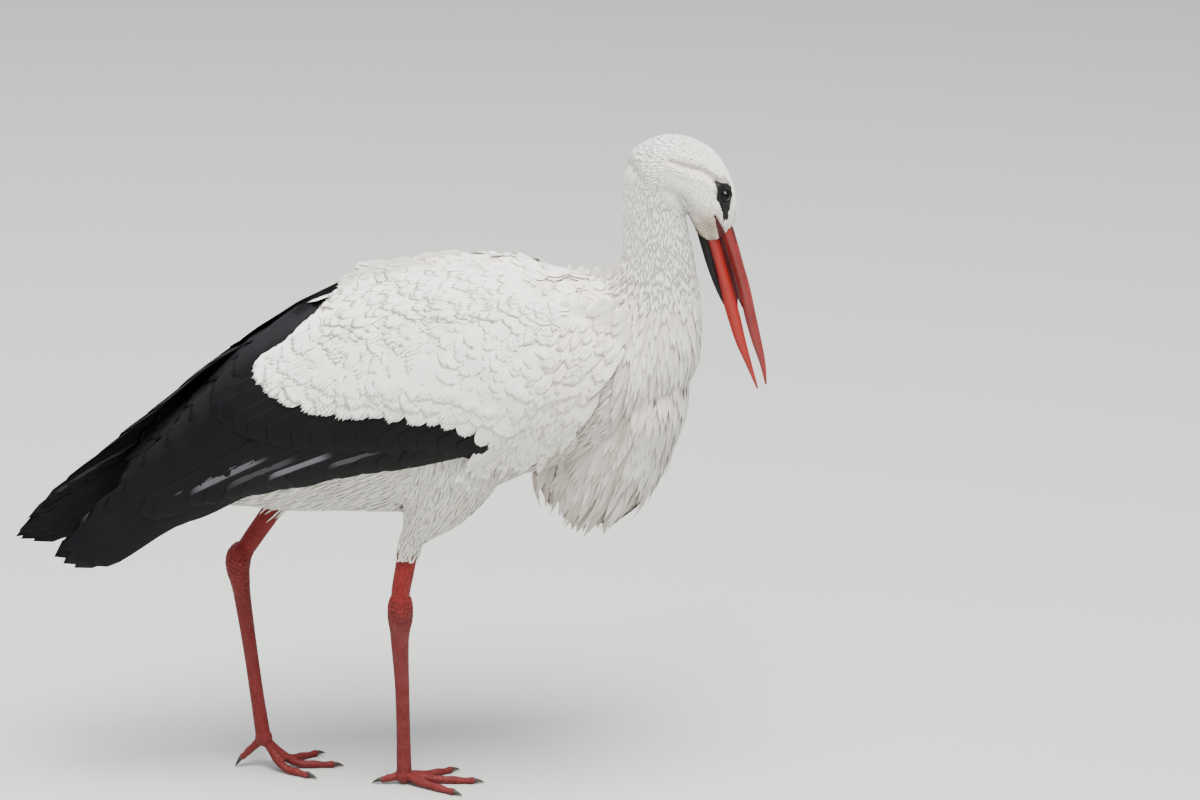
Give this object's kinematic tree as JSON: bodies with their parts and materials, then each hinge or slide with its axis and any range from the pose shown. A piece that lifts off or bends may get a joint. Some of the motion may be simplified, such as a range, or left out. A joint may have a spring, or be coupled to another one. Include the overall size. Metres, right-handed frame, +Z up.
{
  "type": "white stork, standing",
  "caption": "White stork in mid-step with its neck bent down, bill slightly open, black-and-white folded wings and long red legs; a still, life-size model for display.",
  "frame": {"origin": "on the floor below the middle of the bird's outline", "axes": "+X the way the bird faces, +Y towards its left side, +Z up"},
  "size_m": [0.7856, 0.2092, 0.7011],
  "materials": {
    "white_plumage": "soft white feathers, warm on the back and neck, long and narrow on the breast",
    "black_plumage": "black flight feathers with a faint sheen and greyer outer webs",
    "leg_skin": "red scaled leg skin with a dusty bloom",
    "bill_horn": "satin orange-red horn, duller on the upper half",
    "face_skin": "bare black skin round the eye and under the bill",
    "eye": "wet dark brown eye",
    "claw_horn": "dark brown claw horn"
  },
  "bodies": {
    "root": {"trunk": "white_plumage", "neck": "white_plumage", "breast_plumes": "white_plumage", "head": "white_plumage", "bill_upper": "bill_horn", "bill_lower": "bill_horn", "throat_skin": "face_skin", "eye_left": "eye", "eye_right": "eye", "tail": "white_plumage", "wing_coverts_left": "white_plumage", "flight_feathers_left": "black_plumage", "thigh_left": "white_plumage", "shank_left": "leg_skin", "tarsus_left": "leg_skin", "foot_left": "leg_skin", "claw_inner_left": "claw_horn", "claw_middle_left": "claw_horn", "claw_outer_left": "claw_horn", "claw_hind_left": "claw_horn", "wing_coverts_right": "white_plumage", "flight_feathers_right": "black_plumage", "thigh_right": "white_plumage", "shank_right": "leg_skin", "tarsus_right": "leg_skin", "foot_right": "leg_skin", "claw_inner_right": "claw_horn", "claw_middle_right": "claw_horn", "claw_outer_right": "claw_horn", "claw_hind_right": "claw_horn"}
  },
  "joints": []
}
